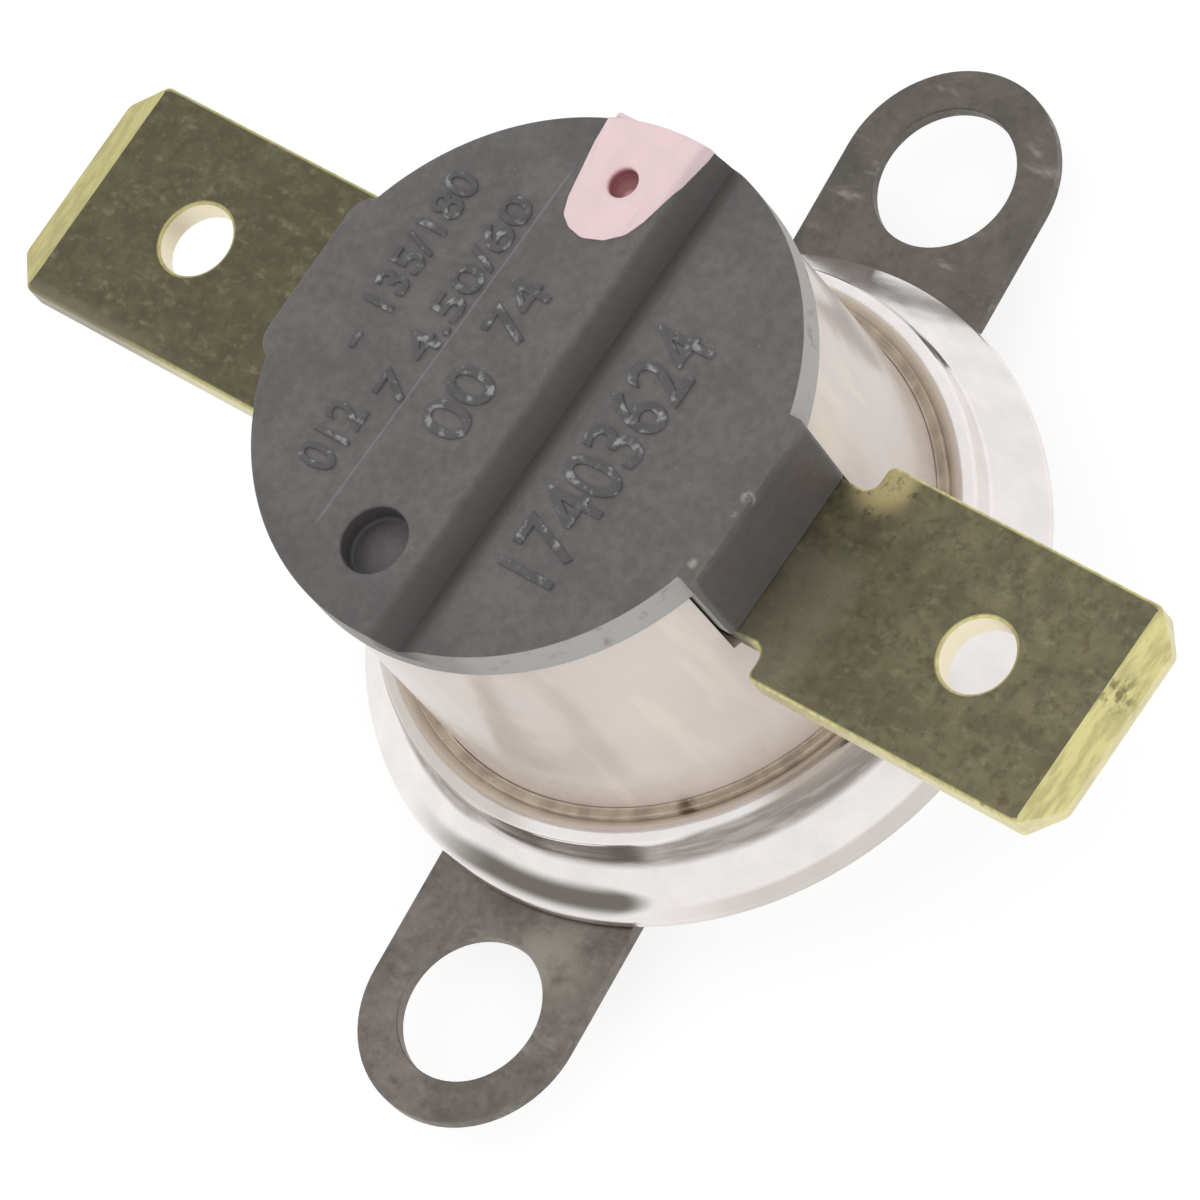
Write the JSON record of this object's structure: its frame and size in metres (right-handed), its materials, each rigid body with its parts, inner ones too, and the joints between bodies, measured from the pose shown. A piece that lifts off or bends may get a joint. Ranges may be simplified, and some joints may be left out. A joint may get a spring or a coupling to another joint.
{
  "type": "oven thermostat",
  "caption": "Snap-disc thermostat: round ceramic body, dark moulded cover, crimped aluminium sensing cup, blade terminals on opposite sides and a loose two-ear bracket",
  "frame": {"origin": "centre of the flat sensing face, which is also the centre of the bottom of the bounding box", "axes": "+X along the fixed terminal's blade, +Z from the sensing face up to the cover; the bracket's ears lie near +Y and -Y, turned 5.8 degrees about +Z as in the picture"},
  "size_m": [0.0342, 0.0298, 0.0131],
  "materials": {
    "dark_phenolic": "matte moulded phenolic, finely mottled",
    "cream_ceramic": "smooth off-white steatite",
    "tarnished_brass": "dull olive tarnish with bright coined edges",
    "rivet_brass": "plain",
    "polished_aluminium": "drawn and polished",
    "plated_steel": "dull grey-brown plating",
    "brown_sealant": "dark brown sealing varnish",
    "bimetal_sheet": "rolled",
    "guide_resin": "brown moulded phenolic",
    "spring_bronze": "rolled copper alloy strip",
    "contact_silver": null
  },
  "bodies": {
    "switch_body": {"top_cover": "dark_phenolic", "base_body": "cream_ceramic", "fixed_terminal": "tarnished_brass", "moving_terminal": "tarnished_brass", "sensing_cup": "polished_aluminium", "seam_seal": "brown_sealant", "bimetal_disc": "bimetal_sheet", "pin_guide": "guide_resin", "fixed_contact": "contact_silver", "spring_clamp": "plated_steel", "fixed_terminal_rivet": "rivet_brass", "moving_terminal_rivet": "rivet_brass", "fixed_rivet_washer": "plated_steel", "moving_rivet_washer": "plated_steel"},
    "bracket": {"mounting_bracket": "plated_steel"},
    "rod": {"push_rod": "cream_ceramic"},
    "contact_arm": {"contact_spring": "spring_bronze", "moving_contact": "contact_silver"}
  },
  "joints": [
    {"name": "bracket_turn", "type": "hinge", "parent": "switch_body", "child": "bracket", "pos_m": [0, 0, 0.00164], "axis": [0, 0, 1], "continuous": true},
    {"name": "rod_lift", "type": "slide", "parent": "switch_body", "child": "rod", "axis": [0, 0, 1], "range_m": [0, 0.00035]},
    {"name": "contact_swing", "type": "hinge", "parent": "switch_body", "child": "contact_arm", "pos_m": [-0.003, 0, 0.01005], "axis": [0, -1, 0], "range_deg": [0, 6.69], "stiffness_Nm_per_rad": 0.005, "springref_deg": -22.92, "deforming": ["contact_spring"]}
  ],
  "couplings": [
    {"joint": "contact_swing", "follows": "rod_lift", "rad_per_m": 333.3}
  ]
}
